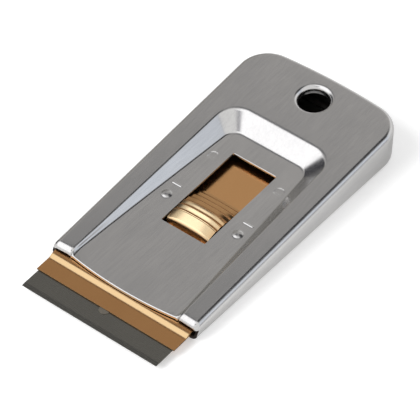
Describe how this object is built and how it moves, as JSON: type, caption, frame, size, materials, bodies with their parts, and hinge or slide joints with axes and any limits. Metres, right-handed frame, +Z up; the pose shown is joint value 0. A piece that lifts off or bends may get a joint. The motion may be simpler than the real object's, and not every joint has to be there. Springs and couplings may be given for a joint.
{
  "type": "razor blade scraper",
  "caption": "Flat hand scraper: a wedge-shaped pressed steel body with a brass slide that carries a single-edge razor blade, pushed out and drawn back by a thumb button.",
  "frame": {"origin": "on the surface that the scraper lies on, under the middle of its whole box with the blade out", "axes": "+Y along the scraper towards the hang hole, +Z up out of the thumb side, blade pointing to -Y"},
  "size_m": [0.0426, 0.091, 0.0104],
  "materials": {
    "body_steel": "plated sheet steel, finely brushed along its length, with polished bends",
    "base_steel": "plated sheet steel, satin",
    "blade_steel": "rolled blade steel, dark and lightly oiled, ground at the edge",
    "spine_steel": "folded strip steel",
    "spring_steel": "tempered spring strip",
    "slide_brass": "brass-plated sheet, satin with a mirror gloss at grazing angles",
    "button_brass": "brass-plated, polished",
    "rivet_brass": "plain brass"
  },
  "bodies": {
    "body": {"top_shell": "body_steel", "base_plate": "base_steel"},
    "slide": {"carrier_plate": "slide_brass", "upper_jaw": "slide_brass", "razor_blade": "blade_steel", "blade_spine": "spine_steel", "thumb_button": "button_brass", "detent_spring": "spring_steel", "jaw_rivet_left": "rivet_brass", "jaw_rivet_middle": "rivet_brass", "jaw_rivet_right": "rivet_brass", "button_rivet_front": "rivet_brass", "button_rivet_rear": "rivet_brass"}
  },
  "joints": [
    {"name": "blade_slide", "type": "slide", "parent": "body", "child": "slide", "axis": [0, 0.9996, 0.0279], "range_m": [0, 0.014], "deforming": ["detent_spring"]}
  ]
}
